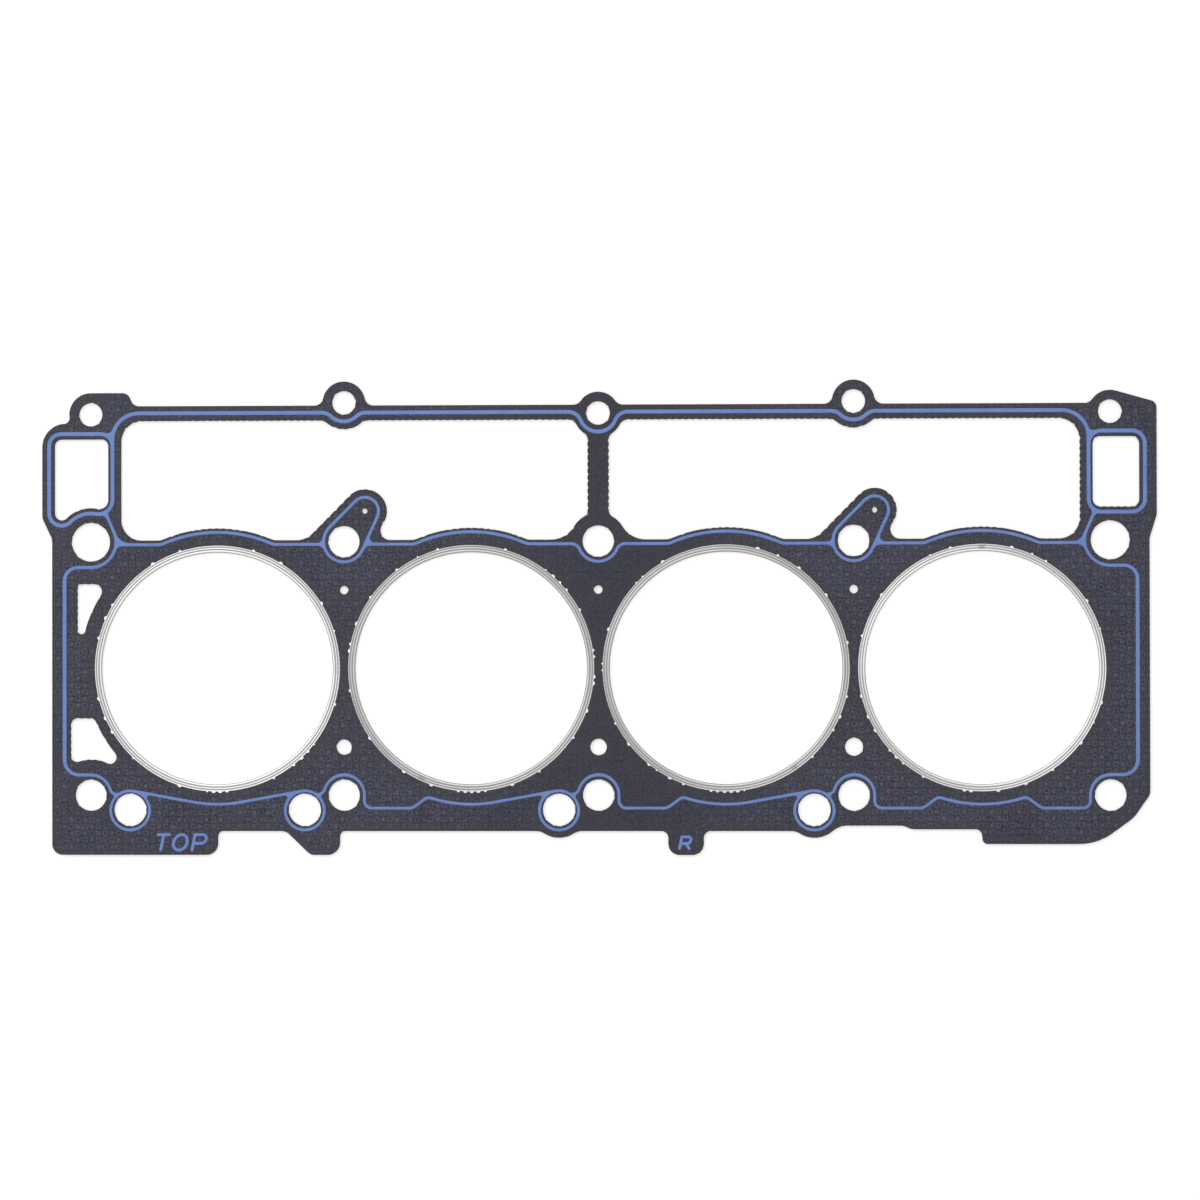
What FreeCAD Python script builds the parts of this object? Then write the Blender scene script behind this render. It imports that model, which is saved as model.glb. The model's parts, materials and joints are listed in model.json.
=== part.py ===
# Cylinder head gasket for one bank of a push-rod V8 engine, modelled in millimetres.
#
# The gasket is a die-cut composite sheet: two soft facings pressed on a tanged steel
# core. A turned steel fire ring sits in each of the four bore openings and stands a
# little proud of both faces, so the head and the block close on the rings first.
#
# Frame: the origin is the centre of the first bore, on the plane that the rings lie on.
# +X runs along the row of bores, +Y towards the push-rod windows, +Z out of the top face.
#
# Every outline is a belt laid round circles. A stop is (x, y, turn): the belt turns left
# round the centre with that radius, or right where the radius is negative, and a turn of
# zero is a plain point. Common tangents join one stop to the next.
import FreeCAD, Part
import math
import os

# Bores and head bolts. The bridge is the sheet left between two rings, and the head
# bolts stand round each bore on a circle that lies this far beyond the ring.
bore_count = 4
bore_bridge = 3.8
bolt_circle_gap = 25.2239
head_bolt_r = 6.95
dowel_bolt_r = 8.6

# Small bolts along the rail, every other one set higher
rail_beyond_bolts = 56.95
rail_bolt_rise = 4.95
rail_bolt_r = 5.22

# Oil drains beside the lower head bolts
drain_aside = 17.6
drain_drop = 6.5
drain_r = 7.2

# Metering holes for coolant, at the inner bolt columns
upper_jet_drop = 21.58
upper_jet_r = 1.87
lower_jet_rise = 21.39
lower_jet_radii = (3.39, 3.65, 3.99)

# Small hole in the ear above two of the head bolts
ear_hole_aside = 9.35
ear_hole_rise = 13.55
ear_hole_r = 1.15

# Thickness: the rings lie lowest and stand highest
ring_thick = 1.65
sheet_thick = 1.45
sheet_lift = 0.10

# Fire ring section
ring_bore_r = 51.55
ring_width = 3.20
ring_gap = 0.05

# Sheet edges, measured outwards from the end bolt columns and the bolt rows
end_margin = 17.35
shoulder_left = 21.75
shoulder_right = 20.55
shoulder_root_rise = 0.05
shoulder_rise = 12.0
shoulder_bend_r = 6.0
deck_above_bolts = 0.70
rail_above_bolts = 3.7
rail_width = 6.65
skirt_drop = 15.95
notch_drop = 13.55
step_drop = 15.15
foot_drop = 21.65
apron_drop = 26.55

# Pads and ears: sheet left round the holes
rail_ear_r = 9.45
rail_pad_r = 11.8
crown_pad_r = 9.6
bridge_pad_r = 10.9
bolt_pad_r = 12.6
ear_lobe_r = 9.75
drain_pad_r = 12.4
corner_pad_r = 14.0
deck_hump_wall = 7.7
bridge_width = 9.5

# Fillets of the outline
ear_fillet = 4.0
window_fillet = 3.0
bridge_root_fillet = 12.0
ear_foot_fillet = 10.0
ear_foot_aside = 21.2
ear_neck_fillet = 4.35
hump_fillet = 6.0
window_corner_r = 9.2
pad_fillet = 2.5

# Lower edge features
apron_width = 74.2
apron_left_r = 4.7
apron_right_r = 5.0
wedge_aside = 28.05
wedge_slope_run = 14.6
wedge_run = 26.1
wedge_top_r = 5.0
wedge_foot_r = 4.0
wedge_end_r = 5.5
tab_aside = 25.75
tab_width = 15.8
tab_corner_r = 5.0
notch_fillet = 10.0
notch_aside = 22.45
step_run = 2.2
foot_aside = 56.6
foot_left_r = 2.2
foot_neck_r = 3.0
foot_neck_gap = 0.15
foot_sweep_r = 25.0
foot_sweep_aside = 14.05
end_corner_rise = 1.95
end_corner_r = 5.0

# Upper corners of the sheet, measured from the end bolts of the rail
peak_aside = 17.35
peak_rise = 1.6
peak_r = 3.2
crown_root_aside = 21.65
crown_edge_aside = 14.15
crown_edge_r = 3.5
shoulder_top_aside = 11.25
shoulder_top_drop = 14.5
shoulder_top_r = 10.5
shoulder_neck_r = 2.5

# Windows of the push rods: clearance from the bolt columns to the end posts
left_post_inner = 13.55
right_post_inner = 13.35

# Breather windows beyond the end posts, measured from the shoulders and the rail
vent_top_gap = 8.1
left_vent_margin = 5.5
left_vent_width = 24.1
left_vent_lobe_r = 3.2
left_vent_pad_r = 15.2
left_vent_root_r = 4.0
vent_corner_r = 3.0
right_vent_margin = 7.6
right_vent_width = 20.6
right_vent_height = 31.1
right_vent_corner_r = 3.3

# Coolant windows at the first bore, measured from the end, the bolt rows and the bore
upper_coolant_margin = 11.35
upper_coolant_drop = 18.8
upper_coolant_wall = 6.8
upper_coolant_corner_r = 3.2
upper_coolant_tight_r = 1.2
upper_coolant_foot_r = 1.7
lower_coolant_margin = 8.4
lower_coolant_rise = 34.25
lower_coolant_wall = 4.5
lower_coolant_pad_r = 15.95
lower_coolant_corner_r = 2.6
lower_coolant_lobe_r = 3.0

# Two arcs that come this close meet in one point
shortest_run = 0.01

ring_outer_r = ring_bore_r + ring_width
sheet_bore_r = ring_outer_r + ring_gap
deck_hump_r = sheet_bore_r + deck_hump_wall
bore_pitch = 2 * ring_outer_r + bore_bridge
bolt_columns = [bore_pitch * (k - 0.5) for k in range(bore_count + 1)]
bore_centres = [bore_pitch * k for k in range(bore_count)]
first_column = bolt_columns[0]
last_column = bolt_columns[-1]
middle_column = bolt_columns[2]
ear_columns = (bolt_columns[1], bolt_columns[3])

# Levels of the bolts and the edges
bolt_row = math.sqrt((ring_outer_r + bolt_circle_gap) ** 2 - (bore_pitch / 2) ** 2)
rail_bolt_y = bolt_row + rail_beyond_bolts
upper_jet_y = bolt_row - upper_jet_drop
lower_jet_y = lower_jet_rise - bolt_row
deck_y = bolt_row + deck_above_bolts
high_rail_y = rail_bolt_y + rail_bolt_rise
rail_top_y = rail_bolt_y + rail_above_bolts
rail_bottom_y = rail_top_y - rail_width
vent_top_y = rail_bottom_y - vent_top_gap
shoulder_root_y = bolt_row + shoulder_root_rise
shoulder_bend_y = shoulder_root_y + shoulder_rise
drain_y = -bolt_row - drain_drop
skirt_y = -bolt_row - skirt_drop
skirt_notch_y = -bolt_row - notch_drop
skirt_step_y = -bolt_row - step_drop
foot_y = -bolt_row - foot_drop
apron_y = -bolt_row - apron_drop

# Places along the sheet
left_end_x = first_column - end_margin
right_end_x = last_column + end_margin
left_shoulder_x = first_column - shoulder_left
right_shoulder_x = last_column + shoulder_right
left_vent_left = left_shoulder_x + left_vent_margin
left_vent_right = left_vent_left + left_vent_width
right_vent_right = right_shoulder_x - right_vent_margin
right_vent_left = right_vent_right - right_vent_width
wedge_top_x = bolt_columns[1] - wedge_aside
tab_left_x = bore_centres[2] - tab_aside


def drain_centres():
    """One drain to the right of the first bolt column, then left of the inner ones."""
    places = [(first_column + drain_aside, drain_y)]
    for column in bolt_columns[1:-1]:
        places.append((column - drain_aside, drain_y))
    return places


def beside(centre_y, distance, level):
    """Sideways reach to a point at height level that is distance from a centre."""
    return math.sqrt(distance ** 2 - (level - centre_y) ** 2)


def between(a, a_distance, b, b_distance, side):
    """Point at given distances from two centres, left (1) or right (-1) of a to b."""
    span = math.hypot(b[0] - a[0], b[1] - a[1])
    along = (a_distance ** 2 - b_distance ** 2 + span ** 2) / (2 * span)
    across = side * math.sqrt(a_distance ** 2 - along ** 2)
    ux = (b[0] - a[0]) / span
    uy = (b[1] - a[1]) / span
    return (a[0] + along * ux - across * uy, a[1] + along * uy + across * ux)


def heading(a, b):
    """Direction of the common tangent that leaves stop a and meets stop b."""
    span = math.hypot(b[0] - a[0], b[1] - a[1])
    lean = (a[2] - b[2]) / span
    return math.atan2(b[1] - a[1], b[0] - a[0]) + math.asin(max(-1.0, min(1.0, lean)))


def on_circle(stop, angle):
    """Point where the belt passes the stop at that heading."""
    x = stop[0] + stop[2] * math.sin(angle)
    y = stop[1] - stop[2] * math.cos(angle)
    return FreeCAD.Vector(x, y, 0)


def turn_angle(stop, arriving, leaving):
    """How far the belt turns round a stop, positive to the left."""
    full = 2 * math.pi
    if stop[2] > 0:
        return (leaving - arriving) % full
    return -((arriving - leaving) % full)


def belt(stops):
    """Closed wire of the belt: a line for each run and an arc round each circle.

    Where two circles touch, their arcs meet in one point with no run between them.
    """
    count = len(stops)
    runs = []
    for here, there in zip(stops, stops[1:] + stops[:1]):
        angle = heading(here, there)
        start = on_circle(here, angle)
        end = on_circle(there, angle)
        if start.distanceToPoint(end) < shortest_run:
            if here[2]:
                start = end
            else:
                end = start
        runs.append((angle, start, end))
    edges = []
    for i in range(count):
        angle, start, end = runs[i]
        if start is not end:
            edges.append(Part.LineSegment(start, end).toShape())
        stop = stops[(i + 1) % count]
        leaving, after, _ = runs[(i + 1) % count]
        if stop[2]:
            swing = turn_angle(stop, angle, leaving)
            middle = on_circle(stop, angle + swing / 2)
            edges.append(Part.Arc(end, middle, after).toShape())
    return Part.Wire(edges)


def circle_wire(x, y, radius):
    return Part.Wire(Part.makeCircle(radius, FreeCAD.Vector(x, y, 0)))


def ear_stops(x, y, ear_r, fillet):
    """Ear above the rail for a small bolt, with its two root fillets, leftwards."""
    level = rail_top_y + fillet
    reach = beside(y, ear_r + fillet, level)
    return [(x + reach, level, -fillet), (x, y, ear_r), (x - reach, level, -fillet)]


def drain_bump(x, right_level, right_fillet=0.0):
    """Bulge of the lower edge round a drain, rightwards, out of a plain corner."""
    left = beside(drain_y, drain_pad_r, skirt_y)
    right_y = right_level - right_fillet
    right = beside(drain_y, drain_pad_r + right_fillet, right_y)
    return [
        (x - left, skirt_y, 0),
        (x, drain_y, drain_pad_r),
        (x + right, right_y, -right_fillet),
    ]


def lower_edge():
    """Lower edge of the sheet from its left corner to its right one."""
    drains = drain_centres()
    apron_end = left_end_x + apron_width
    wedge_end = wedge_top_x + wedge_run
    stops = [
        (left_end_x + apron_left_r, apron_y + apron_left_r, apron_left_r),
        (apron_end - apron_right_r, apron_y + apron_right_r, apron_right_r),
        (apron_end + pad_fillet, skirt_y - pad_fillet, -pad_fillet),
        (wedge_top_x, skirt_y - wedge_top_r, -wedge_top_r),
        (wedge_top_x + wedge_slope_run, apron_y + wedge_foot_r, wedge_foot_r),
        (wedge_end - wedge_end_r, apron_y + wedge_end_r, wedge_end_r),
        (wedge_end + pad_fillet, skirt_y - pad_fillet, -pad_fillet),
    ]
    stops += drain_bump(drains[2][0], skirt_y)
    tab_right_x = tab_left_x + tab_width
    stops += [
        (tab_left_x - window_fillet, skirt_y - window_fillet, -window_fillet),
        (tab_left_x + tab_corner_r, apron_y + tab_corner_r, tab_corner_r),
        (tab_right_x - tab_corner_r, apron_y + tab_corner_r, tab_corner_r),
        (tab_right_x + window_fillet, skirt_y - window_fillet, -window_fillet),
    ]
    stops += drain_bump(drains[3][0], skirt_notch_y, notch_fillet)
    notch_end_x = bolt_columns[3] + notch_aside
    foot_x = last_column - foot_aside
    neck_x = foot_x - foot_neck_gap - foot_neck_r
    stops += [
        (notch_end_x, skirt_notch_y, 0),
        (notch_end_x + step_run, skirt_step_y, 0),
        (neck_x, skirt_step_y - foot_neck_r, -foot_neck_r),
        (foot_x + foot_left_r, foot_y + foot_left_r, foot_left_r),
        (last_column - foot_sweep_aside, foot_y + foot_sweep_r, foot_sweep_r),
        (last_column, -bolt_row, corner_pad_r),
        (right_end_x - end_corner_r, end_corner_rise - bolt_row, end_corner_r),
    ]
    return stops


def upper_edge():
    """Right end, upper edge and left end of the sheet."""
    bend = shoulder_bend_r
    last_fillet_y = rail_top_y + ear_fillet
    last_reach = beside(rail_bolt_y, rail_ear_r + ear_fillet, last_fillet_y)
    crown = (first_column, rail_bolt_y)
    shoulder = (first_column - shoulder_top_aside, rail_bolt_y - shoulder_top_drop)
    neck_to_crown = crown_pad_r + shoulder_neck_r
    neck_to_shoulder = shoulder_top_r + shoulder_neck_r
    neck = between(crown, neck_to_crown, shoulder, neck_to_shoulder, -1)
    stops = [
        (right_end_x + bend, shoulder_root_y, -bend),
        (right_shoulder_x - bend, shoulder_bend_y, bend),
        (last_column + peak_aside, rail_bolt_y + peak_rise, peak_r),
        (last_column, rail_bolt_y, rail_ear_r),
        (last_column - last_reach, last_fillet_y, -ear_fillet),
    ]
    stops += ear_stops(bolt_columns[3], high_rail_y, rail_ear_r, ear_fillet)
    stops += ear_stops(middle_column, rail_bolt_y, rail_ear_r, ear_fillet)
    stops += ear_stops(bolt_columns[1], high_rail_y, rail_ear_r, ear_fillet)
    crown_edge_y = rail_bolt_y + crown_pad_r - crown_edge_r
    stops += [
        (first_column + crown_root_aside, rail_top_y + ear_fillet, -ear_fillet),
        (first_column + crown_edge_aside, crown_edge_y, crown_edge_r),
        (crown[0], crown[1], crown_pad_r),
        (neck[0], neck[1], -shoulder_neck_r),
        (shoulder[0], shoulder[1], shoulder_top_r),
        (left_shoulder_x + bend, shoulder_bend_y, bend),
        (left_end_x - bend, shoulder_root_y, -bend),
    ]
    return stops


def deck_hump(x):
    """The deck edge over one bore, rightwards along a window's lower side."""
    level = deck_y + hump_fillet
    reach = beside(0, deck_hump_r + hump_fillet, level)
    return [(x - reach, level, hump_fillet), (x, 0, -deck_hump_r), (x + reach, level, hump_fillet)]


def deck_ear(column):
    """The leaning ear of a head bolt, rightwards along a window's lower side."""
    hole_x = column + ear_hole_aside
    hole_y = bolt_row + ear_hole_rise
    neck_y = deck_y + ear_neck_fillet
    reach = beside(hole_y, ear_lobe_r + ear_neck_fillet, neck_y)
    return [
        (column - ear_foot_aside, deck_y + ear_foot_fillet, ear_foot_fillet),
        (hole_x, hole_y, -ear_lobe_r),
        (hole_x + reach, neck_y, ear_neck_fillet),
    ]


def rail_pad(x):
    """The rail's lower edge under a high bolt, leftwards along a window's top."""
    reach = beside(high_rail_y, rail_pad_r, rail_bottom_y)
    return [
        (x + reach, rail_bottom_y, 0),
        (x, high_rail_y, -rail_pad_r),
        (x - reach, rail_bottom_y, 0),
    ]


def bridge_side(side):
    """One side of the bridge between the windows, from its lower pad to its upper one."""
    half = bridge_width / 2
    fillet = window_fillet
    edge_x = middle_column + side * (half + fillet)
    foot_level = deck_y + bridge_root_fillet
    foot = beside(bolt_row, bolt_pad_r + bridge_root_fillet, foot_level)
    low = math.sqrt((bolt_pad_r + fillet) ** 2 - (half + fillet) ** 2)
    high = math.sqrt((bridge_pad_r + fillet) ** 2 - (half + fillet) ** 2)
    top_level = rail_bottom_y - ear_fillet
    top = beside(rail_bolt_y, bridge_pad_r + ear_fillet, top_level)
    return [
        (middle_column + side * foot, foot_level, bridge_root_fillet),
        (middle_column, bolt_row, -bolt_pad_r),
        (edge_x, bolt_row + low, fillet),
        (edge_x, rail_bolt_y - high, fillet),
        (middle_column, rail_bolt_y, -bridge_pad_r),
        (middle_column + side * top, top_level, ear_fillet),
    ]


def left_window():
    """Push-rod window over the first two bores."""
    corner = window_corner_r
    post_x = first_column + left_post_inner + corner
    stops = [(post_x, deck_y + corner, corner)]
    stops += deck_hump(bore_centres[0])
    stops += deck_ear(bolt_columns[1])
    stops += deck_hump(bore_centres[1])
    stops += bridge_side(-1)
    stops += rail_pad(bolt_columns[1])
    stops += [(post_x, rail_bottom_y - corner, corner)]
    return stops


def right_window():
    """Push-rod window over the last two bores."""
    corner = window_corner_r
    post_x = last_column - right_post_inner - corner
    stops = deck_hump(bore_centres[2])
    stops += deck_ear(bolt_columns[3])
    stops += deck_hump(bore_centres[3])
    stops += [(post_x, deck_y + corner, corner), (post_x, rail_bottom_y - corner, corner)]
    stops += rail_pad(bolt_columns[3])
    stops += list(reversed(bridge_side(1)))
    return stops


def left_vent():
    """Breather window over the first bolt, which rounds that bolt's pad."""
    lobe_r = left_vent_lobe_r
    root_r = left_vent_root_r
    lobe_x = left_vent_left + lobe_r
    root_x = left_vent_right - root_r
    lobe = math.sqrt((left_vent_pad_r + lobe_r) ** 2 - (lobe_x - first_column) ** 2)
    root = math.sqrt((left_vent_pad_r + root_r) ** 2 - (root_x - first_column) ** 2)
    corner = vent_corner_r
    top = vent_top_y - corner
    return [
        (lobe_x, bolt_row + lobe, lobe_r),
        (first_column, bolt_row, -left_vent_pad_r),
        (root_x, bolt_row + root, root_r),
        (left_vent_right - corner, top, corner),
        (left_vent_left + corner, top, corner),
    ]


def right_vent():
    """Breather window over the last bolt."""
    corner = right_vent_corner_r
    left = right_vent_left + corner
    right = right_vent_right - corner
    bottom = vent_top_y - right_vent_height + corner
    top = vent_top_y - corner
    return [
        (left, bottom, corner),
        (right, bottom, corner),
        (right, top, corner),
        (left, top, corner),
    ]


def upper_coolant():
    """Wedge-shaped coolant window above the middle of the first bore's left side."""
    foot = upper_coolant_foot_r
    corner = upper_coolant_corner_r
    tight = upper_coolant_tight_r
    left = left_end_x + upper_coolant_margin
    top = bolt_row - upper_coolant_drop
    round_bore = sheet_bore_r + upper_coolant_wall
    foot_y = beside(left + foot, round_bore + foot, 0)
    corner_x = -beside(0, round_bore + corner, top - corner)
    return [
        (left + foot, foot_y, foot),
        (0, 0, -round_bore),
        (corner_x, top - corner, corner),
        (left + tight, top - tight, tight),
    ]


def lower_coolant():
    """Coolant window between the first bore and the lower bolt of the first column."""
    corner = lower_coolant_corner_r
    lobe = lower_coolant_lobe_r
    bolt = (first_column, -bolt_row)
    round_bore = sheet_bore_r + lower_coolant_wall
    left_x = left_end_x + lower_coolant_margin + corner
    left_rise = beside(first_column, lower_coolant_pad_r + corner, left_x)
    lobe_at = between(bolt, lower_coolant_pad_r + lobe, (0, 0), round_bore + lobe, 1)
    top_y = lower_coolant_rise - bolt_row - corner
    top_x = -beside(0, round_bore + corner, top_y)
    return [
        (left_x, bolt[1] + left_rise, corner),
        (bolt[0], bolt[1], -lower_coolant_pad_r),
        (lobe_at[0], lobe_at[1], lobe),
        (0, 0, -round_bore),
        (top_x, top_y, corner),
        (left_x, top_y, corner),
    ]


def round_holes():
    """Centre and radius of every round hole in the sheet."""
    holes = [(x, 0, sheet_bore_r) for x in bore_centres]
    holes += [(x, -bolt_row, head_bolt_r) for x in bolt_columns]
    holes += [(x, bolt_row, head_bolt_r) for x in bolt_columns[1:-1]]
    holes += [(x, bolt_row, dowel_bolt_r) for x in (first_column, last_column)]
    for index, x in enumerate(bolt_columns):
        holes.append((x, rail_bolt_y + rail_bolt_rise * (index % 2), rail_bolt_r))
    holes += [(x, y, drain_r) for x, y in drain_centres()]
    holes += [(x, upper_jet_y, upper_jet_r) for x in bolt_columns[1:-1]]
    holes += [(x, lower_jet_y, r) for x, r in zip(bolt_columns[1:-1], lower_jet_radii)]
    holes += [(x + ear_hole_aside, bolt_row + ear_hole_rise, ear_hole_r) for x in ear_columns]
    return holes


def composite_sheet():
    """The die-cut sheet, one face with all its openings, raised to its thickness."""
    wires = [belt(lower_edge() + upper_edge())]
    windows = (left_window(), right_window(), left_vent(), right_vent())
    wires += [belt(stops) for stops in windows]
    wires += [belt(stops) for stops in (upper_coolant(), lower_coolant())]
    wires += [circle_wire(x, y, r) for x, y, r in round_holes()]
    face = Part.makeFace(wires, "Part::FaceMakerBullseye")
    face.translate(FreeCAD.Vector(0, 0, sheet_lift))
    return face.extrude(FreeCAD.Vector(0, 0, sheet_thick))


def fire_ring(x):
    """Turned ring of plain rectangular section, its underside on the origin's plane."""
    centre = FreeCAD.Vector(x, 0, 0)
    disc = Part.makeCylinder(ring_bore_r + ring_width, ring_thick, centre)
    return disc.cut(Part.makeCylinder(ring_bore_r, ring_thick, centre))


def main():
    os.makedirs("parts", exist_ok=True)
    pieces = {
        "composite_sheet": composite_sheet(),
        "fire_rings": Part.makeCompound([fire_ring(x) for x in bore_centres]),
    }
    for name, shape in pieces.items():
        box = shape.BoundBox
        print(name, "solids", len(shape.Solids), "valid", shape.isValid())
        print("  size %.2f %.2f %.2f" % (box.XLength, box.YLength, box.ZLength))
        print("  volume %.1f" % shape.Volume)
        shape.exportStep("parts/" + name + ".step")


main()
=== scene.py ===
# %% [markdown]
# # A cylinder head gasket, seen from above
#
# The real part is a flat die-cut sheet. Two soft facings are pressed onto a thin steel core
# whose small tangs hold them, a turned steel ring lines each cylinder bore, and a thin blue
# bead of silicone is printed on both faces. The frame gives the sheet and the rings at their
# real size. This script dresses them: it gives the edges their ragged die cut, the rings
# their grooves, and it adds the printed bead and all finishes. Sizes are in millimetres and
# become metres when a mesh is made.

# %% Load the frame
import json
import math

import bpy
import numpy as np
from mathutils import Matrix, Vector
from mathutils.geometry import delaunay_2d_cdt


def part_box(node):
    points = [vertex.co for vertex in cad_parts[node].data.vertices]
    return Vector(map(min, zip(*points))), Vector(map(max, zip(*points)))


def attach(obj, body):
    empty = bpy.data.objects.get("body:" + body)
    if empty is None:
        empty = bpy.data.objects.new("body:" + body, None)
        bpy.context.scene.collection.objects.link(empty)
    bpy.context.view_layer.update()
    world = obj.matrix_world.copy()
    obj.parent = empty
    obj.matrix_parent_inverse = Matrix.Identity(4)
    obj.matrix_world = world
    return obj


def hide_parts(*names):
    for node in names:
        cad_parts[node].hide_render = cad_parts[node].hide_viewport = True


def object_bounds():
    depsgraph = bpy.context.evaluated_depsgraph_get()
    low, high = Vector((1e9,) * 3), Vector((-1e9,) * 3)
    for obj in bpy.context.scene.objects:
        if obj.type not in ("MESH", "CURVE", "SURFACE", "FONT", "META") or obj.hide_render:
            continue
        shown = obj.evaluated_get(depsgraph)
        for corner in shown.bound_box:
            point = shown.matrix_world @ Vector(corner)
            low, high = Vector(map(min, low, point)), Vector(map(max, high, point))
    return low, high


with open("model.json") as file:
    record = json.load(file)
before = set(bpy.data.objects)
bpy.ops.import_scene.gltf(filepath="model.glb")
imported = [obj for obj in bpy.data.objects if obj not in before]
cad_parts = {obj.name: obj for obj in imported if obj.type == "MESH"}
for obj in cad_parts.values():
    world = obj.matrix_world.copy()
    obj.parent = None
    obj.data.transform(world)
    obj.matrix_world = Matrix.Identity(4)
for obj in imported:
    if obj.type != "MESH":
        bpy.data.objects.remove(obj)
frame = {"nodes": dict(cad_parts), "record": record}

MM = 0.001
cad_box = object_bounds()
sheet_low, sheet_top = [corner.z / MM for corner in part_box("composite_sheet")]
ring_low, ring_top = [corner.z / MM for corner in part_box("fire_rings")]
print("sheet from %.2f to %.2f mm" % (sheet_low, sheet_top))
print("rings from %.2f to %.2f mm" % (ring_low, ring_top))

# %% [markdown]
# ## Where the holes are
#
# Everything on a gasket is measured from the bores and the bolts. The record of the part
# states them as mounts, so the bead and the rings take their places from there.

# %% Bores and bolt columns
mounts = {mount["name"]: mount for mount in frame["record"]["mounts"]}
bore_names = sorted(name for name in mounts if name.startswith("cylinder_bore"))
bores = [mounts[name]["pos_m"][0] / MM for name in bore_names]
bore_r = mounts[bore_names[0]]["dims"]["r_mm"]
pitch = bores[1] - bores[0]
columns = [bores[0] - pitch / 2 + pitch * k for k in range(len(bores) + 1)]
bolt_row = mounts["dowel_head_bolts"]["pos_m"][1] / MM
low_rail_y = mounts["end_rail_bolts"]["pos_m"][1] / MM
high_rail_y = mounts["high_rail_bolts"]["pos_m"][1] / MM
ring_outer_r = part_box("fire_rings")[1].x / MM - bores[-1]
print("bore pitch %.2f mm, ring from r %.2f to %.2f mm" % (pitch, bore_r, ring_outer_r))

# %% [markdown]
# ## Turning arrays into pieces
#
# Each shape below is worked out as whole arrays of points and faces. One helper puts them
# into a mesh. Faces that lie quite flat are shaded flat, so that a rounded edge beside them
# doesn't tint the whole field.


# %% A mesh from arrays
def make_piece(name, points, faces, finish, flat, **marks):
    """Mesh object from points in mm and rows of point numbers, with named point attributes.

    The faces marked in flat are shaded flat. A mark with one number a point becomes a float
    attribute, one with three a vector.
    """
    mesh = bpy.data.meshes.new(name)
    mesh.vertices.add(len(points))
    mesh.vertices.foreach_set("co", (np.asarray(points) * MM).ravel())
    mesh.loops.add(faces.size)
    mesh.loops.foreach_set("vertex_index", faces.ravel())
    mesh.polygons.add(len(faces))
    mesh.polygons.foreach_set("loop_start", np.arange(0, faces.size, faces.shape[1]))
    mesh.update(calc_edges=True)
    mesh.polygons.foreach_set("use_smooth", ~flat)
    for mark, values in marks.items():
        kind, field = ("FLOAT", "value") if values.ndim == 1 else ("FLOAT_VECTOR", "vector")
        mesh.attributes.new(mark, kind, "POINT").data.foreach_set(field, values.ravel())
    mesh.materials.append(finish)
    piece = bpy.data.objects.new(name, mesh)
    bpy.context.scene.collection.objects.link(piece)
    triangles = len(faces) * (faces.shape[1] - 2)
    print("%s: %d points, %d triangles" % (name, len(points), triangles))
    return piece


# %% [markdown]
# ## Materials as arithmetic
#
# A finish is a sum of patterns: a lattice here, a stain there, each with its weight. Written
# as node trees they are hard to read, so a socket is wrapped in a small class on which plus,
# minus, times and divide add the Math nodes. Every other node comes from one method.


# %% Sockets that can be added and multiplied
class Wire:
    """An output socket of a finish. Arithmetic on wires and numbers adds Math nodes."""

    def __init__(self, finish, socket):
        self.finish = finish
        self.socket = socket

    def math(self, operation, *others):
        inputs = dict(enumerate((self,) + others))
        return self.finish.node("Math", {"operation": operation}, inputs)

    def out(self, name):
        return Wire(self.finish, self.socket.node.outputs[name])

    def clamp(self, low=0.0, high=1.0):
        return self.math("MAXIMUM", low).math("MINIMUM", high)

    def __add__(self, other):
        return self.math("ADD", other)

    def __radd__(self, other):
        return self.math("ADD", other)

    def __sub__(self, other):
        return self.math("SUBTRACT", other)

    def __rsub__(self, other):
        return self.finish.node("Math", {"operation": "SUBTRACT"}, {0: other, 1: self})

    def __mul__(self, other):
        return self.math("MULTIPLY", other)

    def __rmul__(self, other):
        return self.math("MULTIPLY", other)

    def __truediv__(self, other):
        return self.math("DIVIDE", other)

    def __abs__(self):
        return self.math("ABSOLUTE")


class Finish:
    """The node tree of a new material, or of the world, under construction."""

    def __init__(self, owner):
        owner.use_nodes = True
        self.owner = owner
        self.tree = owner.node_tree
        self.tree.nodes.clear()

    def node(self, kind, settings=None, inputs=None, output=0):
        """Add a node: its settings first, then the values or links of its sockets."""
        node = self.tree.nodes.new("ShaderNode" + kind)
        for key, value in (settings or {}).items():
            setattr(node, key, value)
        for key, value in (inputs or {}).items():
            if isinstance(value, Wire):
                self.tree.links.new(value.socket, node.inputs[key])
            else:
                node.inputs[key].default_value = value
        return Wire(self, node.outputs[output])

    def mark(self, name, output="Fac"):
        """Read a named attribute of the mesh."""
        return self.node("Attribute", {"attribute_name": name}, output=output)

    def noise(self, place, scale, detail=2.0, roughness=0.5):
        """Soft random pattern from 0 to 1, with scale blobs to the unit of place."""
        sockets = {"Vector": place, "Scale": scale, "Detail": detail, "Roughness": roughness}
        return self.node("TexNoise", None, sockets)

    def blend(self, amount, first, second):
        """Colour that goes from first to second as amount goes from 0 to 1."""
        settings = {"data_type": "RGBA", "clamp_factor": True}
        return self.node("Mix", settings, {0: amount, 6: first, 7: second}, output=2)

    def close(self, shader, kind="OutputMaterial"):
        """Join a shader to the output and return the finished material or world."""
        out = self.tree.nodes.new("ShaderNode" + kind)
        self.tree.links.new(shader.socket, out.inputs["Surface"])
        return self.owner


def grey(level, warmth=0.0):
    """Linear colour of one lightness, a little warmer or cooler than neutral."""
    return (level * (1 + warmth), level, level * (1 - warmth), 1.0)


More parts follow.
